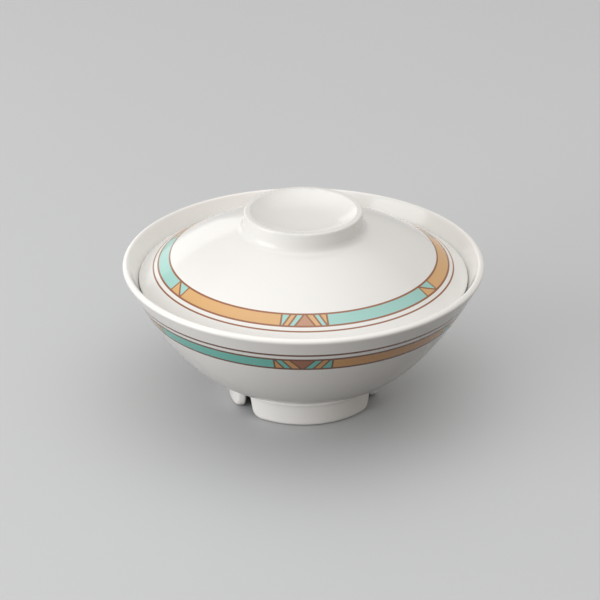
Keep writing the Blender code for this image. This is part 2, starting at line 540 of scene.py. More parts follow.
@dataclass(frozen=True)
class BorderDrawing:
    """Drawing of the border, repeated three times a turn, in shares of a motif and of the band.

    Long blocks alternate between two colours. Where they meet there is either a peak, a brown
    triangle between slanting stripes, or a small check cut by a diagonal.
    """

    repeat: float = 120.0
    peak_shift: float = 0.03
    slants: tuple[tuple[float, float], ...] = ((0.445, 0.405), (0.705, 0.345), (0.945, 0.315))
    soft: float = 0.05

    def group(self) -> bpy.types.NodeTree:
        """Node group that draws the border.

        Turn is the angle in degrees, Across is 0 on the line near the rim and 1 on the far
        line. Every distance is worked out in degrees of turn, with Height as the band's height
        in degrees. A slanting line lies where the distance from the peak's middle is
        Motif (base - lean Across), for each pair in slants.

        Returns:
            The group's tree, with outputs Colour and Print.
        """
        numbers = ("Turn", "Across", "Height", "Motif", "Check", "Line", "Cross Line",
                   "Thin Place", "Thin Line")
        colours = ("Tan", "Turquoise", "Brown", "Outline")
        bench, given, result = new_group(
            "printed_border",
            {**dict.fromkeys(numbers, NUMBER), **dict.fromkeys(colours, COLOUR)},
            {"Colour": COLOUR, "Print": NUMBER},
        )
        math_ = bench.math
        turn, across, height, motif = (given[name] for name in numbers[:4])
        half = self.repeat / 2
        half_on = math_("FLOORED_MODULO", math_("ADD", turn, half), self.repeat)
        from_peak = math_("SUBTRACT", half_on, half)
        from_check = math_("SUBTRACT", math_("FLOORED_MODULO", turn, self.repeat), half)
        shifted = math_("SUBTRACT", from_peak, math_("MULTIPLY", motif, self.peak_shift))
        out = math_("ABSOLUTE", shifted)
        squat = math_("DIVIDE", motif, height)

        passed = math_("LESS_THAN", shifted, 0.0)
        nearest = math_("ABSOLUTE", math_("SUBTRACT", math_("ABSOLUTE", from_peak), motif))
        inside_peak: Socket | None = None
        for base, lean in self.slants:
            edge = math_("MULTIPLY", motif, math_("MULTIPLY_ADD", across, -lean, base))
            tilt = math_("MULTIPLY", squat, lean)
            steep = math_("SQRT", math_("MULTIPLY_ADD", tilt, tilt, 1.0))
            distance = math_("DIVIDE", math_("SUBTRACT", out, edge), steep)
            beyond = math_("GREATER_THAN", distance, 0.0)
            passed = math_("ADD", passed, beyond)
            nearest = math_("MINIMUM", nearest, math_("ABSOLUTE", distance))
            if inside_peak is None:
                inside_peak = math_("SUBTRACT", 1.0, beyond)
        passed = math_("ADD", passed, math_("GREATER_THAN", math_("ABSOLUTE", from_peak), motif))
        odd = math_("FLOORED_MODULO", passed, 2.0)

        check = given["Check"]
        check_out = math_("SUBTRACT", math_("ABSOLUTE", from_check), check)
        in_check = math_("LESS_THAN", check_out, 0.0)
        falling = math_("MULTIPLY_ADD", across, -2.0, 1.0)
        diagonal = math_("SUBTRACT", math_("DIVIDE", from_check, check), falling)
        check_tan = math_("LESS_THAN", diagonal, 0.0)
        check_tilt = math_("DIVIDE", math_("MULTIPLY", check, 2.0), height)
        check_steep = math_("SQRT", math_("MULTIPLY_ADD", check_tilt, check_tilt, 1.0))
        aside = math_("MULTIPLY", math_("ABSOLUTE", diagonal), check)
        to_diagonal = math_("DIVIDE", aside, check_steep)
        outside_far = math_("MULTIPLY", math_("SUBTRACT", 1.0, in_check), self.repeat)
        nearest = math_("MINIMUM", nearest, math_("ADD", to_diagonal, outside_far))
        nearest = math_("MINIMUM", nearest, math_("ABSOLUTE", check_out))

        to_middle = math_("ABSOLUTE", math_("SUBTRACT", across, 0.5))
        to_band = math_("MULTIPLY", math_("SUBTRACT", to_middle, 0.5), height)
        from_thin = math_("ABSOLUTE", math_("SUBTRACT", across, given["Thin Place"]))
        thin = math_("MULTIPLY", from_thin, height)

        def drawn(distance: Socket, reach: Socket) -> Socket:
            """1 within reach of a line and 0 beyond it, with a soft edge.

            Args:
                distance: Distance from the line's middle, in degrees.
                reach: Half the line's width, in degrees.

            Returns:
                The mask.
            """
            low = math_("SUBTRACT", reach, self.soft)
            high = math_("ADD", reach, self.soft)
            return math_("SUBTRACT", 1.0, bench.rising(distance, low, high))

        cross = drawn(nearest, given["Cross Line"])
        line = math_("MAXIMUM", cross, drawn(math_("ABSOLUTE", to_band), given["Line"]))
        thin_line = drawn(thin, given["Thin Line"])
        band = drawn(to_band, given["Line"])
        tan = math_("ADD", math_("MULTIPLY", in_check, check_tan),
                    math_("MULTIPLY", math_("SUBTRACT", 1.0, in_check), odd))
        colour = bench.mix(tan, given["Turquoise"], given["Tan"])
        colour = bench.mix(inside_peak, colour, given["Brown"])
        colour = bench.mix(math_("MAXIMUM", line, thin_line), colour, given["Outline"])
        bench.feed(result.inputs["Colour"], colour)
        bench.feed(result.inputs["Print"], math_("MAXIMUM", band, thin_line))
        return bench.tree


@dataclass(frozen=True)
class MouldedGloss:
    """Gloss of a moulded surface: faint clouding, uneven gloss, and scuffs where it is put down."""

    cloud_scale: float = 55.0
    cloud_detail: float = 3.0
    cloud_depth: float = 0.030
    cloud_middle: float = 0.75
    gloss: float = 0.135
    gloss_spread: float = 0.060
    smear_scale: float = 38.0
    smear_detail: float = 4.0
    smear_roughness: float = 0.6
    scuff_scale: float = 900.0
    scuff_detail: float = 2.0
    scuff_step: tuple[float, float] = (0.46, 0.62)
    scuffed: float = 0.42
    scuff_shade: float = -0.10
    ripple_scale: float = 210.0
    pit_scale: float = 1500.0
    pit_share: float = 0.10
    fine_detail: float = 1.0

    def group(self) -> bpy.types.NodeTree:
        """Node group that gives Tone, Roughness and Height at a Place, rougher where Wear is 1.

        Returns:
            The group's tree.
        """
        bench, given, result = new_group(
            "moulded_gloss",
            {"Place": VECTOR, "Wear": NUMBER},
            {"Tone": COLOUR, "Roughness": NUMBER, "Height": NUMBER},
        )
        place = given["Place"]
        cloud = bench.noise(place, self.cloud_scale, self.cloud_detail)
        darkest = 1.0 - self.cloud_depth * self.cloud_middle
        tone = bench.math("MULTIPLY_ADD", cloud, self.cloud_depth, darkest)
        smear = bench.noise(place, self.smear_scale, self.smear_detail, self.smear_roughness)
        smoothest = self.gloss - self.gloss_spread / 2
        rough = bench.math("MULTIPLY_ADD", smear, self.gloss_spread, smoothest)
        scratches = bench.noise(place, self.scuff_scale, self.scuff_detail)
        worn = bench.math("MULTIPLY", bench.rising(scratches, *self.scuff_step), given["Wear"])
        rough = bench.math("MULTIPLY_ADD", worn, self.scuffed - self.gloss, rough)
        dull = bench.math("MULTIPLY_ADD", worn, self.scuff_shade, tone)
        ripple = bench.noise(place, self.ripple_scale, self.fine_detail)
        pits = bench.noise(place, self.pit_scale, self.fine_detail)
        height = bench.math("MULTIPLY_ADD", pits, self.pit_share, ripple)
        bench.feed(result.inputs["Tone"], bench.grey(dull))
        bench.feed(result.inputs["Roughness"], rough)
        bench.feed(result.inputs["Height"], height)
        return bench.tree


class BandRun(Enum):
    """How a border lies on its piece: what is measured across it and which way it is read."""

    ROUND_THE_WALL = "height"
    ROUND_THE_LID = "radius"


@dataclass(frozen=True)
class Border:
    """Place and sizes of one printed border, in metres and degrees.

    The lines' places are heights on the bowl and radii on the lid. The printed face lies beyond
    the wall's middle, which face_from gives as a base and a slope along the measured way.
    """

    run: BandRun
    near_line: float
    far_line: float
    thin_line: float
    radius: float
    slope_length: float
    face_from: tuple[float, float]
    motif: float
    check: float
    phase: float
    line_width: float
    cross_width: float
    thin_width: float

    def degrees(self, length: float) -> float:
        """Angle of turn that a length covers on the band."""
        return math.degrees(length / self.radius)

    def settings(self, inks: Inks) -> dict[str, object]:
        """Values for the drawing's inputs that are the same all round.

        Args:
            inks: Colours of the border.

        Returns:
            Values by the names of the inputs.
        """
        return {
            "Height": self.degrees(self.slope_length),
            "Motif": self.motif,
            "Check": self.check,
            "Line": self.degrees(self.line_width / 2),
            "Cross Line": self.degrees(self.cross_width / 2),
            "Thin Place": (self.thin_line - self.near_line) / (self.far_line - self.near_line),
            "Thin Line": self.degrees(self.thin_width / 2),
            "Tan": inks.tan,
            "Turquoise": inks.turquoise,
            "Brown": inks.brown,
            "Outline": inks.outline,
        }


@dataclass(frozen=True)
class Melamine:
    """White moulded melamine with a printed border under its clear surface. The bowl's white and
    the lid's inks are written lighter than their own colours, as painted light.
    """

    white: Colour
    inks: Inks = Inks()
    ior: float = 1.62
    bump: float = 0.10
    bump_depth: float = 0.00006

    def material(self, name: str, border: Border, wear: tuple[float, float],
                 drawing: bpy.types.NodeTree, gloss: bpy.types.NodeTree) -> bpy.types.Material:
        """Node material on Object coordinates.

        Args:
            name: Name of the material.
            border: The piece's printed border.
            wear: Heights between which wear rises from none to full.
            drawing: Node group that draws the border.
            gloss: Node group of the moulded surface.

        Returns:
            The material.
        """
        material, bench, shader = new_material(name)
        place = bench.add("ShaderNodeTexCoord").outputs["Object"]
        split = bench.add("ShaderNodeSeparateXYZ")
        bench.feed(split.inputs[0], place)
        x, y, z = split.outputs
        reach = bench.math("SQRT", bench.math("MULTIPLY_ADD", x, x, bench.math("MULTIPLY", y, y)))
        turn = bench.math("DEGREES", bench.math("ARCTAN2", x, bench.math("MULTIPLY", y, -1.0)))
        if border.run is BandRun.ROUND_THE_WALL:
            measured, other, way = z, reach, -1.0
        else:
            measured, other, way = reach, z, 1.0

        surface = bench.add("ShaderNodeGroup", node_tree=gloss)
        bench.feed(surface.inputs["Place"], place)
        bench.feed(surface.inputs["Wear"], bench.rising(z, *wear))

        band = bench.add("ShaderNodeGroup", node_tree=drawing)
        for socket, value in border.settings(self.inks).items():
            bench.feed(band.inputs[socket], value)
        bench.feed(band.inputs["Turn"], bench.math("MULTIPLY_ADD", turn, way, -way * border.phase))
        span = border.far_line - border.near_line
        across = bench.math("MULTIPLY_ADD", measured, 1.0 / span, -border.near_line / span)
        bench.feed(band.inputs["Across"], across)
        base, slope = border.face_from
        middle = bench.math("MULTIPLY_ADD", measured, slope, base)
        on_face = bench.math("GREATER_THAN", other, middle)
        shown = bench.math("MULTIPLY", band.outputs["Print"], on_face)

        colour = bench.mix(shown, self.white, band.outputs["Colour"])
        colour = bench.mix(1.0, colour, surface.outputs["Tone"], "MULTIPLY")
        bench.feed(shader.inputs["Base Color"], colour)
        bench.feed(shader.inputs["Roughness"], surface.outputs["Roughness"])
        shader.inputs["IOR"].default_value = self.ior
        bump = bench.add("ShaderNodeBump")
        bump.inputs["Strength"].default_value = self.bump
        bump.inputs["Distance"].default_value = self.bump_depth
        bench.feed(bump.inputs["Height"], surface.outputs["Height"])
        bench.feed(shader.inputs["Normal"], bump.outputs["Normal"])
        return material


# The two moulded pieces


@dataclass(frozen=True)
class Notch:
    """Drain notch through the foot ring: a level crown, leaning sides and round feet.

    Lengths in metres, angles in radians. The fine columns reach out to a share of the outline's
    half width, and the turn shifts fade out over one half width from another share of it.
    """

    count: int = 3
    first: float = math.radians(98.9)
    width: float = 0.0117
    height: float = 0.0110
    lean: float = math.radians(11.0)
    crown_radius: float = 0.0034
    corner_radius: float = 0.0045
    flare: float = math.radians(43.0)
    nose_depth: float = 0.0027
    back_widening: float = 0.0003
    outer_rounding: float = 0.0032
    nose_rounding: float = 0.0007
    inner_rounding: float = 0.0005
    corner_steps: int = 12
    spacing: float = 0.00029
    samples: int = 4001
    slope_step: float = 1e-6
    reach_share: float = 1.12
    fade_share: float = 1.2
    widest_sine: float = 0.99

    def crown(self) -> Array:
        """Centre of the rounding between a side and the crown.

        Returns:
            Its distance aside and its height.
        """
        up = self.height - self.crown_radius
        on_side = self.width / 2 - up * math.tan(self.lean)
        return point(on_side - self.crown_radius / math.cos(self.lean), up)

    def corner(self) -> Array:
        """Centre of the rounding between a side and the table."""
        up = self.corner_radius
        return point(self.width / 2 - up * math.tan(self.lean) + up / math.cos(self.lean), up)

    def half_width(self) -> float:
        """Distance aside at which the outline comes down to the table."""
        return float(self.corner()[0])

    def rise(self, aside: Array) -> Array:
        """Height of the outline at a distance aside from the notch's middle.

        From the middle outwards: the level crown, the circle about crown(), the straight side,
        the circle about corner(), the table.

        Args:
            aside: Distances along the ring from the notch's middle, in metres.

        Returns:
            Heights over the table.
        """
        aside = np.abs(aside)
        (crown_aside, crown_up), (corner_aside, corner_up) = self.crown(), self.corner()
        crown_square = self.crown_radius**2 - (aside - crown_aside) ** 2
        corner_square = self.corner_radius**2 - (corner_aside - aside) ** 2
        on_crown = crown_up + np.sqrt(np.maximum(crown_square, 0.0))
        on_side = (self.width / 2 - aside) / math.tan(self.lean)
        on_corner = corner_up - np.sqrt(np.maximum(corner_square, 0.0))
        ends = (crown_aside, crown_aside + self.crown_radius * math.cos(self.lean),
                corner_aside - self.corner_radius * math.cos(self.lean), corner_aside)
        heights = (self.height, on_crown, on_side, on_corner)
        return np.select([aside < end for end in ends], heights, 0.0)

    def into_ring(self, aside: Array) -> tuple[Array, Array]:
        """Direction square to the outline and into the ring, from the outline's slope.

        Args:
            aside: Distances along the ring from the notch's middle, in metres.

        Returns:
            The direction's part aside and its part upwards.
        """
        step = self.slope_step
        slope = (self.rise(aside + step) - self.rise(aside - step)) / (2 * step)
        return -slope / np.hypot(slope, 1.0), 1.0 / np.hypot(slope, 1.0)

    def end_section(self, wall: float, points: int) -> Array:
        """Level section of the ring's end beside the notch.

        Between three rounded corners it has two straight sides: a slanting face from the ring's
        outside to the nose, and a slanting back from the nose to the ring's inside.

        Args:
            wall: Thickness of the ring's wall.
            points: Number of points, evenly spaced along the section.

        Returns:
            Depths into the wall and how far the notch is widened there.
        """
        outer, inner = point(0.0, 0.0), point(wall, self.back_widening)
        nose = point(self.nose_depth, -self.nose_depth * math.tan(self.flare))
        aside = point(0.0, 1.0)
        section = joined(
            fillet(outer, outer + aside, nose, self.outer_rounding, self.corner_steps),
            fillet(nose, outer, inner, self.nose_rounding, self.corner_steps),
            fillet(inner, nose, inner + aside, self.inner_rounding, self.corner_steps))
        length = length_along(section)
        places = np.linspace(0.0, length[-1], points)
        return np.stack([np.interp(places, length, section[:, i]) for i in range(2)], axis=1)

    def angles(self, radius: float) -> Array:
        """Turn angles about the notch's middle that cut its outline into even lengths.

        Args:
            radius: Radius of the ring on which the outline lies.

        Returns:
            The angles, from one side to the other.
        """
        reach = self.half_width() * self.reach_share
        aside = np.linspace(-reach, reach, self.samples)
        outline = np.stack((aside, self.rise(aside)), axis=1)
        length = length_along(outline)
        steps = int(length[-1] / self.spacing)
        even = np.interp(np.linspace(0.0, length[-1], steps + 1), length, aside)
        return np.arcsin(even / radius)


@dataclass
class Bowl:
    """Thin flared shell on a notched foot ring. Lengths in metres, angles in radians."""

    rim_radius: float = 0.0800
    height: float = 0.0660
    wall: float = 0.0030
    lip_power: float = 2.7
    flare: float = math.radians(30.3)
    wall_pull: float = 0.0065
    belly_height: float = 0.0129
    belly_slope: float = math.radians(16.0)
    belly_pull: float = 0.0209
    floor_drop: float = 0.0016
    floor_fillet: float = 0.0300
    floor_thickness: float = 0.0034
    foot_radius: float = 0.0337
    foot_wall: float = 0.0044
    foot_draft: float = math.radians(2.0)
    foot_fillet: float = 0.0055
    foot_edge: float = 0.0016
    bead_height: float = 0.00065
    bead_width: float = 0.0013
    bead_share: float = 0.67
    recess_edge: float = 0.0008
    recess_fillet: float = 0.0020
    notch: Notch = Notch()
    columns_between: int = 38
    print_top: float = 0.0586
    print_bottom: float = 0.0470
    line_heights: tuple[float, float, float] = (0.05690, 0.05407, 0.04806)
    wear_shares: tuple[float, float] = (0.9, 0.1)
    # The bowl's white is lighter than the lid's, though both are the same melamine. This is painted
    # light, making up for light that the bowl's walls lack under these lamps.
    finish: Melamine = Melamine(white=(0.918, 0.907, 0.887, 1.0))
    rows: dict[str, int] = field(default_factory=lambda: {
        "floor": 8, "cove": 8, "wall": 38, "lip": 22, "blend": 36, "ring": 9, "edge": 7,
        "flat": 4, "fillet": 8, "recess": 8})

    def lip_centre(self) -> Array:
        """Centre of the half round that closes the lip."""
        return point(self.rim_radius - self.wall / 2, self.height - self.wall / 2)

    def foot_radius_at(self, height: float) -> float:
        """Outer radius of the foot ring at a height over the table."""
        return self.foot_radius + height * math.tan(self.foot_draft)

    def foot_blend(self) -> Array:
        """Round stretch from the belly's underside down to the outside of the foot ring.

        Returns:
            The points from the belly downwards.
        """
        corner = point(self.foot_radius_at(self.belly_height), self.belly_height)
        on_belly = corner + towards(self.belly_slope)
        on_table = point(self.foot_radius, 0.0)
        return fillet(corner, on_belly, on_table, self.foot_fillet, self.rows["blend"])

    def beaded_blend(self) -> Array:
        """The foot's fillet with a fine raised line on it.

        The line lifts the fillet square to itself by height (1 + cos t) / 2, for t over a whole
        turn across its width, about a share of the fillet's length.

        Returns:
            The points from the belly downwards.
        """
        blend = self.foot_blend()
        length = length_along(blend)
        t = math.tau * (length - self.bead_share * length[-1]) / self.bead_width
        lift = self.bead_height * (1.0 + np.cos(np.clip(t, -math.pi, math.pi))) / 2
        ahead = np.gradient(blend, length, axis=0)
        return blend + lift[:, None] * np.stack((-ahead[:, 1], ahead[:, 0]), axis=1)

    def outer_wall(self) -> tuple[Array, Array]:
        """Cubic line from under the lip to the foot's fillet.

        Returns:
            Its points, and its unit normals into the wall.
        """
        top = self.lip_centre() + self.wall / 2 * towards(-self.flare)
        foot = self.foot_blend()[0]
        start_pull = top + self.wall_pull * towards(-math.pi / 2 - self.flare)
        end_pull = foot + self.belly_pull * towards(self.belly_slope)
        points, left = cubic(top, start_pull, end_pull, foot, self.rows["wall"])
        return points, -left

    def stretches(self) -> dict[str, Array]:
        """Half section from the middle of the floor over the lip to the middle of the recess.

        Returns:
            Its stretches by name, in order; each begins where the one before it ends.
        """
        outer, inward = self.outer_wall()
        inner = (outer + self.wall * inward)[::-1]
        floor_top = inner[0, 1] - self.floor_drop
        floor_middle = point(0.0, floor_top)
        floor_corner = point(inner[0, 0] - self.floor_drop / math.tan(self.belly_slope), floor_top)
        cove = fillet(floor_corner, floor_middle, inner[0], self.floor_fillet, self.rows["cove"])
        lip = squarish_end(self.lip_centre(), self.wall / 2, math.pi - self.flare,
                           self.lip_power, self.rows["lip"])
        recess_top = floor_top - self.floor_thickness
        inner_foot = self.foot_radius - self.foot_wall
        outer_corner, inner_corner = point(self.foot_radius, 0.0), point(inner_foot, 0.0)
        recess_corner = point(inner_foot - recess_top * math.tan(self.foot_draft), recess_top)
        blend = self.foot_blend()
        edge_out = fillet(outer_corner, blend[-1], inner_corner, self.foot_edge, self.rows["edge"])
        edge_in = fillet(inner_corner, outer_corner, recess_corner, self.recess_edge,
                         self.rows["edge"])
        centre = point(0.0, recess_top)
        roof = fillet(recess_corner, inner_corner, centre, self.recess_fillet, self.rows["fillet"])
        floor = straight(floor_middle, cove[0], self.rows["floor"])
        ring_out = straight(blend[-1], edge_out[0], self.rows["ring"])
        flat = straight(edge_out[-1], edge_in[0], self.rows["flat"])
        ring_in = straight(edge_in[-1], roof[0], self.rows["ring"])
        recess = straight(roof[-1], centre, self.rows["recess"])
        return {
            "shell": joined(floor, cove, inner, lip, outer),
            "outside": joined(self.beaded_blend(), ring_out),
            "bottom": joined(edge_out, flat, edge_in),
            "inside": joined(ring_in, roof, recess[:2]),
            "recess": recess[1:],
        }

    def turns(self) -> Array:
        """Turn angles of the columns, closer together in the notches than between them.

        Returns:
            The angles, once round.
        """
        pitch = math.tau / self.notch.count
        inside = self.notch.angles(self.foot_radius)
        between = np.linspace(inside[-1], pitch + inside[0], self.columns_between + 1)[1:-1]
        third = np.concatenate((inside, between)) + self.notch.first
        return (third[None] + pitch * np.arange(self.notch.count)[:, None]).ravel()

    @staticmethod
    def squeezed(path: Array, end_height: Array, end_shift: Array) -> Grid:
        """Rows of a path moved along it, so that each column ends at a height and shift of its own.

        A point at length s along the path goes to s times L / S, where S is the whole length and
        L is the length at which the path reaches the column's height. It is shifted by s / S of
        the column's shift.

        Args:
            path: Points that fall all the way, or stay level before they fall.
            end_height: The height of the last point, for each column.
            end_shift: The turn shift of the last point, for each column.

        Returns:
            The grid, with a row for each point of the path.
        """
        length = length_along(path)
        share = length[:, None] / length[-1]
        places = share * np.interp(-end_height, -path[:, 1], length)
        radii, heights = (np.interp(places, length, path[:, i]) for i in range(2))
        return radii, heights, share * end_shift

    def ring_grids(self, parts: dict[str, Array], turns: Array) -> tuple[Grid, Grid, Grid]:
        """Rows of the foot ring, cut back in the notches.

        In each column the ring's outer and inner side end at the notch's outline, and the rows
        between them follow a section: the table's rounded edges where the outline is level and
        the notch's end section where it is upright, mixed by the square of the outline's lean.
        A row at depth d and growth g lies at outline + g times the direction into the ring.

        Args:
            parts: Stretches of the half section.
            turns: Turn angles of the columns.

        Returns:
            The ring's outside, its end on the table or in a notch, and its inside.
        """
        notch = self.notch
        pitch = math.tau / notch.count
        angle = np.mod(turns - notch.first + pitch / 2, pitch) - pitch / 2
        aside = self.foot_radius * np.sin(angle)
        lean_aside, lean_up = notch.into_ring(aside)
        outside, bottom, inside = parts["outside"], parts["bottom"], parts["inside"][::-1]
        table = np.stack((bottom[0, 0] - bottom[:, 0], bottom[:, 1]), axis=1)
        end = notch.end_section(float(table[-1, 0]), len(bottom))
        depth, grown = table.T[:, :, None] + (end - table).T[:, :, None] * lean_aside**2
        heights = notch.rise(aside) + lean_up * grown
        outer_edge, inner_edge = (
            np.interp(-height, -path[:, 1], path[:, 0])
            for path, height in ((outside, heights[0]), (inside, heights[-1])))
        radii = outer_edge + (inner_edge - outer_edge) * depth / table[-1, 0]
        away = np.clip(np.abs(aside) / notch.half_width() - notch.fade_share, 0.0, 1.0)
        sine = (aside + lean_aside * grown) / radii
        moved = np.arcsin(np.clip(sine, -notch.widest_sine, notch.widest_sine)) - angle
        shifts = (1.0 - away * away * (3.0 - 2.0 * away)) * moved
        outer_rows = self.squeezed(outside, heights[0], shifts[0])
        inner_rows = self.squeezed(inside, heights[-1], shifts[-1])
        return (outer_rows, (radii[1:-1], heights[1:-1], shifts[1:-1]),
                tuple(rows[::-1] for rows in inner_rows))

    def surface(self) -> TurnedSurface:
        """Turned grid of the bowl, with its notched foot ring.

        Returns:
            The surface, ready to be made a mesh.
        """
        parts = self.stretches()
        turns = self.turns()
        shell, recess = parts["shell"][:-1], parts["recess"][1:]
        grids = (even_grid(shell, len(turns)), *self.ring_grids(parts, turns),
                 even_grid(recess, len(turns)))
        radii, heights, shifts = (np.vstack(rows) for rows in zip(*grids))
        foot = (parts["outside"], parts["bottom"][1:-1], parts["inside"])
        profile = np.vstack((shell, *foot, recess))
        outer_rows = np.arange(len(profile)) > int(np.argmax(profile[:, 0]))
        band = rows_between(profile[:, 1], self.print_bottom, self.print_top, outer_rows)
        return TurnedSurface("bowl_shell", radii, heights, turns, profile, band, shifts)

    def border(self) -> Border:
        """Printed border on the outside of the wall, under the lip.

        Returns:
            Its place and sizes.
        """
        outer, inward = self.outer_wall()
        middle = (outer + self.wall / 2 * inward)[::-1]
        low, high = np.interp((self.print_bottom, self.print_top), middle[:, 1], middle[:, 0])
        slope = (high - low) / (self.print_top - self.print_bottom)
        thin, near, far = self.line_heights
        along = outer[::-1]
        radius_near, radius_far = np.interp((near, far), along[:, 1], along[:, 0])
        return Border(
            run=BandRun.ROUND_THE_WALL, near_line=near, far_line=far, thin_line=thin,
            radius=float(radius_near + radius_far) / 2,
            slope_length=math.hypot(near - far, float(radius_near - radius_far)),
            face_from=(float(low - slope * self.print_bottom), float(slope)),
            motif=9.7, check=3.9, phase=-0.05,
            line_width=0.00125, cross_width=0.00080, thin_width=0.00125,
        )

    def build(self, drawing: bpy.types.NodeTree, gloss: bpy.types.NodeTree) -> bpy.types.Object:
        """Makes the bowl, dresses it and puts it in place of its solid.

        Args:
            drawing: Node group that draws the border.
            gloss: Node group of the moulded surface.

        Returns:
            The finished piece.
        """
        piece = self.surface().piece()
        none, full = self.wear_shares
        wear = (self.foot_edge * none, self.foot_edge * full)
        piece.data.materials.append(
            self.finish.material("bowl_melamine_print", self.border(), wear, drawing, gloss))
        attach(piece, "bowl")
        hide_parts("bowl")
        return piece


@dataclass
class Lid:
    """Thin dome with a ring knob, resting on the bowl's inner wall.

    Lengths in metres, angles in radians.
    """

    seat_height: float = 0.0586
    edge_radius: float = 0.07166
    wall: float = 0.0028
    skirt_slope: float = math.radians(32.0)
    skirt_radius: float = 0.0592
    skirt_pull: float = 0.0105
    crown_rise: float = 0.0231
    crown_slope: float = math.radians(17.0)
    crown_pull: float = 0.0105
    crown_thickness: float = 0.0033
    knob_radius: float = 0.0263
    knob_height: float = 0.0081
    knob_draft: float = math.radians(2.0)
    knob_fillet: float = 0.0040
    knob_rim: float = 0.0027
    knob_edge: float = 0.0009
    dish_depth: float = 0.0050
    dish_power: float = 3.6
    dish_gap: float = 0.0003
    columns: int = 288
    print_outer: float = 0.0678
    print_inner: float = 0.0584
    line_radii: tuple[float, float, float] = (0.06652, 0.06438, 0.05922)
    wear_shares: tuple[float, float] = (0.8, 0.1)
    # The lid's inks are lighter than the bowl's, though the print is the same. This is a painted
    # sheen, standing in for the gloss that washes the lid's border out.
    finish: Melamine = Melamine(white=(0.836, 0.829, 0.812, 1.0), inks=Inks(
        tan=(0.690, 0.412, 0.178, 1.0), turquoise=(0.345, 0.625, 0.575, 1.0),
        brown=(0.510, 0.270, 0.165, 1.0), outline=(0.310, 0.120, 0.055, 1.0)))
    rows: dict[str, int] = field(default_factory=lambda: {
        "dish": 34, "fillet": 10, "edge": 8, "rim": 3, "wall": 10, "dome": 40, "skirt": 18,
        "roll": 16, "under": 24})

    def top(self) -> float:
        """Height of the knob's rim over the table."""
        return self.seat_height + self.crown_rise + self.knob_height

    def knob_blend(self) -> Array:
        """Round stretch from the outside of the knob down to the dome.

        Returns:
            The points from the knob outwards.
        """
        crown = self.seat_height + self.crown_rise
        corner = point(self.knob_radius + self.knob_height * math.tan(self.knob_draft), crown)
        rim = point(self.knob_radius, self.top())
        on_dome = corner + towards(-self.crown_slope)
        return fillet(corner, rim, on_dome, self.knob_fillet, self.rows["fillet"])

    def dish(self, rim: Array) -> Array:
        """Hollow of the knob.

        The height over its middle grows with a power of the share of the rim's radius.

        Args:
            rim: Inner corner of the knob's rim.

        Returns:
            Points from the middle to just short of the rim.
        """
        share = np.linspace(0.0, 1.0, self.rows["dish"] + 1)[:-1]
        below = self.dish_depth * (1.0 - share**self.dish_power)
        return np.stack((rim[0] * share, rim[1] - below), axis=1)

    def dome(self, edge: Array) -> tuple[Array, Array]:
        """Outer line from the edge up the straight skirt and the cubic dome to the knob.

        Args:
            edge: Centre of the half round that closes the edge.

        Returns:
            Its points, and its unit normals into the wall.
        """
        foot = edge + self.wall / 2 * towards(math.pi / 2 - self.skirt_slope)
        up = towards(math.pi - self.skirt_slope)
        top = foot + up * (foot[0] - self.skirt_radius) / math.cos(self.skirt_slope)
        knob_foot = self.knob_blend()[-1]
        end_pull = knob_foot + self.crown_pull * towards(-self.crown_slope)
        start_pull = top + up * self.skirt_pull
        points, normals = cubic(top, start_pull, end_pull, knob_foot, self.rows["dome"])
        skirt = straight(foot, top, self.rows["skirt"])[:-1]
        on_skirt = np.repeat(normals[:1], len(skirt), axis=0)
        return np.vstack((skirt, points)), np.vstack((on_skirt, normals))

    def profile(self) -> Array:
        """Half section from the middle of the dish over knob and dome to the ceiling's middle.

        Returns:
            The points in order.
        """
        edge = point(self.edge_radius, self.seat_height)
        outer, inward = self.dome(edge)
        under = outer + self.wall * inward
        rolled = arc(edge, self.wall / 2, math.pi / 2 - self.skirt_slope,
                     -math.pi / 2 - self.skirt_slope, self.rows["roll"])
        rim_out = point(self.knob_radius, self.top())
        rim_in = point(self.knob_radius - self.knob_rim, self.top())
        dish = self.dish(rim_in)
        edge_in = fillet(rim_in, dish[-1], rim_out, self.knob_edge, self.rows["edge"])
        dish = np.vstack((dish[dish[:, 0] < edge_in[0, 0] - self.dish_gap], edge_in[:1]))
        foot = self.knob_blend()
        edge_out = fillet(rim_out, rim_in, foot[0], self.knob_edge, self.rows["edge"])
        ceiling = point(0.0, dish[0, 1] - self.crown_thickness)
        start_pull = under[-1] + self.crown_pull * towards(math.pi - self.crown_slope)
        end_pull = ceiling + point(self.crown_pull, 0.0)
        below, _ = cubic(under[-1], start_pull, end_pull, ceiling, self.rows["under"])
        return joined(
            dish, edge_in,
            straight(edge_in[-1], edge_out[0], self.rows["rim"]), edge_out,
            straight(edge_out[-1], foot[0], self.rows["wall"]), foot,
            outer[::-1], rolled, under, below,
        )

    def surface(self) -> TurnedSurface:
        """Turned grid of the lid, with even columns.

        Returns:
            The surface, ready to be made a mesh.
        """
        profile = self.profile()
        turns = math.tau * np.arange(self.columns) / self.columns - math.pi / 2
        radii, heights, shifts = even_grid(profile, self.columns)
        before_edge = np.arange(len(profile)) < int(np.argmax(profile[:, 0]))
        band = rows_between(profile[:, 0], self.print_inner, self.print_outer, before_edge)
        return TurnedSurface("lid_shell", radii, heights, turns, profile, band, shifts)

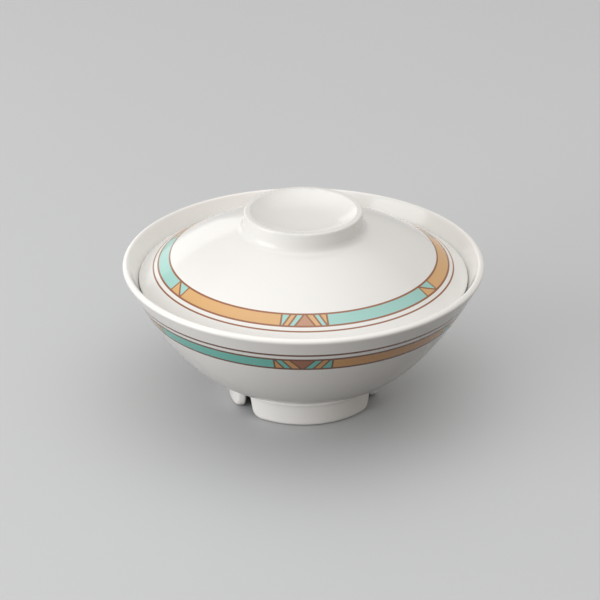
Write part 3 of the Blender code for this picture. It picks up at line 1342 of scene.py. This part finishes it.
    def border(self) -> Border:
        """Printed border on the top of the lid, just inside its edge.

        Returns:
            Its place and sizes.
        """
        outer, inward = self.dome(point(self.edge_radius, self.seat_height))
        middle = (outer + self.wall / 2 * inward)[::-1]
        high, low = np.interp((self.print_inner, self.print_outer), middle[:, 0], middle[:, 1])
        slope = (low - high) / (self.print_outer - self.print_inner)
        thin, near, far = self.line_radii
        along = outer[::-1]
        height_near, height_far = np.interp((near, far), along[:, 0], along[:, 1])
        return Border(
            run=BandRun.ROUND_THE_LID, near_line=near, far_line=far, thin_line=thin,
            radius=(near + far) / 2,
            slope_length=math.hypot(near - far, float(height_near - height_far)),
            face_from=(float(high - slope * self.print_inner), float(slope)),
            motif=9.1, check=3.7, phase=0.30,
            line_width=0.00088, cross_width=0.00080, thin_width=0.00076,
        )

    def build(self, drawing: bpy.types.NodeTree, gloss: bpy.types.NodeTree) -> bpy.types.Object:
        """Makes the lid, dresses it and puts it in place of its solid.

        Args:
            drawing: Node group that draws the border.
            gloss: Node group of the moulded surface.

        Returns:
            The finished piece.
        """
        piece = self.surface().piece()
        none, full = self.wear_shares
        wear = (self.top() - self.knob_edge * none, self.top() - self.knob_edge * full)
        piece.data.materials.append(
            self.finish.material("lid_melamine_print", self.border(), wear, drawing, gloss))
        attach(piece, "lid")
        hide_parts("lid")
        return piece


# Studio


@dataclass(frozen=True)
class SoftBox:
    """Square soft lamp that looks at the bowl; glossy surfaces mirror it or not."""

    name: str
    place: Place
    side: float
    watts: float
    spread: float = math.pi
    mirrored: bool = True

    def hang(self, target: Place) -> bpy.types.Object:
        """Makes the lamp and turns its -Z axis to a target, with its +Y axis upwards.

        Args:
            target: Place that it looks at.

        Returns:
            The lamp.
        """
        lamp = bpy.data.lights.new(self.name, "AREA")
        lamp.shape = "SQUARE"
        lamp.size = self.side
        lamp.energy = self.watts
        lamp.spread = self.spread
        box = new_object(self.name, lamp)
        box.visible_glossy = self.mirrored
        away = np.array(self.place) - np.array(target)
        flat = math.hypot(away[0], away[1])
        box.location = self.place
        box.rotation_euler = (math.atan2(flat, away[2]), 0.0, math.atan2(away[0], -away[1]))
        return box


@dataclass
class Studio:
    """Pale floor, soft lamps and the camera at the photograph's angle."""

    camera_place: Place = (-0.0015, -1.0036, 0.5372)
    camera_down: float = math.radians(26.09)
    focal: float = 150.0
    sensor: float = 36.0
    farthest: float = 50.0
    floor_side: float = 12.0
    floor_tone: Colour = (0.585, 0.600, 0.620, 1.0)
    floor_bounce: Colour = (0.065, 0.059, 0.052, 1.0)
    floor_roughness: float = 0.55
    paint_scale: float = 3.0
    paint_detail: float = 2.0
    paint_depth: float = 0.04
    paint_darkest: float = 0.97
    sky: Colour = (1.0, 0.965, 0.915, 1.0)
    sky_strength: float = 0.53
    middle: Place = (0.0, 0.0, 0.045)
    lamps: tuple[SoftBox, ...] = (
        SoftBox("top_softbox", (0.10, 0.10, 1.30), 2.4, 5.9, math.radians(95.0)),
        SoftBox("left_softbox", (-1.30, -0.40, 0.50), 1.0, 6.5),
        SoftBox("front_softbox", (-1.10, -1.00, 0.26), 0.6, 7.7, mirrored=False),
        SoftBox("back_softbox", (-0.95, 2.25, 0.42), 1.1, 2.6),
    )

    def floor(self) -> bpy.types.Object:
        """Flat square floor with a faintly uneven pale paint, which throws little light back up.

        Returns:
            The floor.
        """
        half = self.floor_side / 2
        corners = [(-half, -half, 0.0), (half, -half, 0.0), (half, half, 0.0), (-half, half, 0.0)]
        mesh = bpy.data.meshes.new("studio_floor")
        mesh.from_pydata(corners, [], [(0, 1, 2, 3)])
        material, bench, shader = new_material("pale_floor")
        place = bench.add("ShaderNodeTexCoord").outputs["Object"]
        cloud = bench.noise(place, self.paint_scale, self.paint_detail)
        tone = bench.math("MULTIPLY_ADD", cloud, self.paint_depth, self.paint_darkest)
        rays = bench.add("ShaderNodeLightPath").outputs
        seen = bench.math("MAXIMUM", rays["Is Camera Ray"],
                          bench.math("MAXIMUM", rays["Is Glossy Ray"], rays["Is Transmission Ray"]))
        paint = bench.mix(seen, self.floor_bounce, self.floor_tone)
        clouded = bench.mix(1.0, paint, bench.grey(tone), "MULTIPLY")
        bench.feed(shader.inputs["Base Color"], clouded)
        shader.inputs["Roughness"].default_value = self.floor_roughness
        mesh.materials.append(material)
        floor = new_object("studio_floor", mesh)
        return floor

    def world(self) -> None:
        """Even pale light from all round."""
        world = bpy.data.worlds.new("studio")
        world.use_nodes = True
        background = world.node_tree.nodes["Background"]
        background.inputs["Color"].default_value = self.sky
        background.inputs["Strength"].default_value = self.sky_strength
        bpy.context.scene.world = world

    def camera(self) -> bpy.types.Object:
        """Camera that looks along +Y and down, as the photograph was taken.

        Returns:
            The camera, which is the scene's own.
        """
        lens = bpy.data.cameras.new("camera")
        lens.sensor_width = self.sensor
        lens.lens = self.focal
        lens.clip_end = self.farthest
        camera = new_object("camera", lens)
        camera.location = self.camera_place
        camera.rotation_euler = (math.pi / 2 - self.camera_down, 0.0, 0.0)
        bpy.context.scene.camera = camera
        return camera

    def build(self) -> None:
        """Sets up floor, world, lamps, camera and the plain view transform."""
        self.floor()
        self.world()
        for lamp in self.lamps:
            lamp.hang(self.middle)
        self.camera()
        bpy.context.scene.view_settings.view_transform = "Standard"


def report(piece: bpy.types.Object) -> None:
    """Logs a piece's name and its number of faces."""
    LOG.info("%s: %d faces", piece.name, len(piece.data.polygons))


def main() -> None:
    """Builds the studio, the bowl and the lid."""
    logging.basicConfig(level=logging.INFO, format="%(name)s %(message)s")
    Studio().build()
    drawing = BorderDrawing().group()
    gloss = MouldedGloss().group()
    report(Bowl().build(drawing, gloss))
    report(Lid().build(drawing, gloss))


if __name__ == "__main__":
    main()
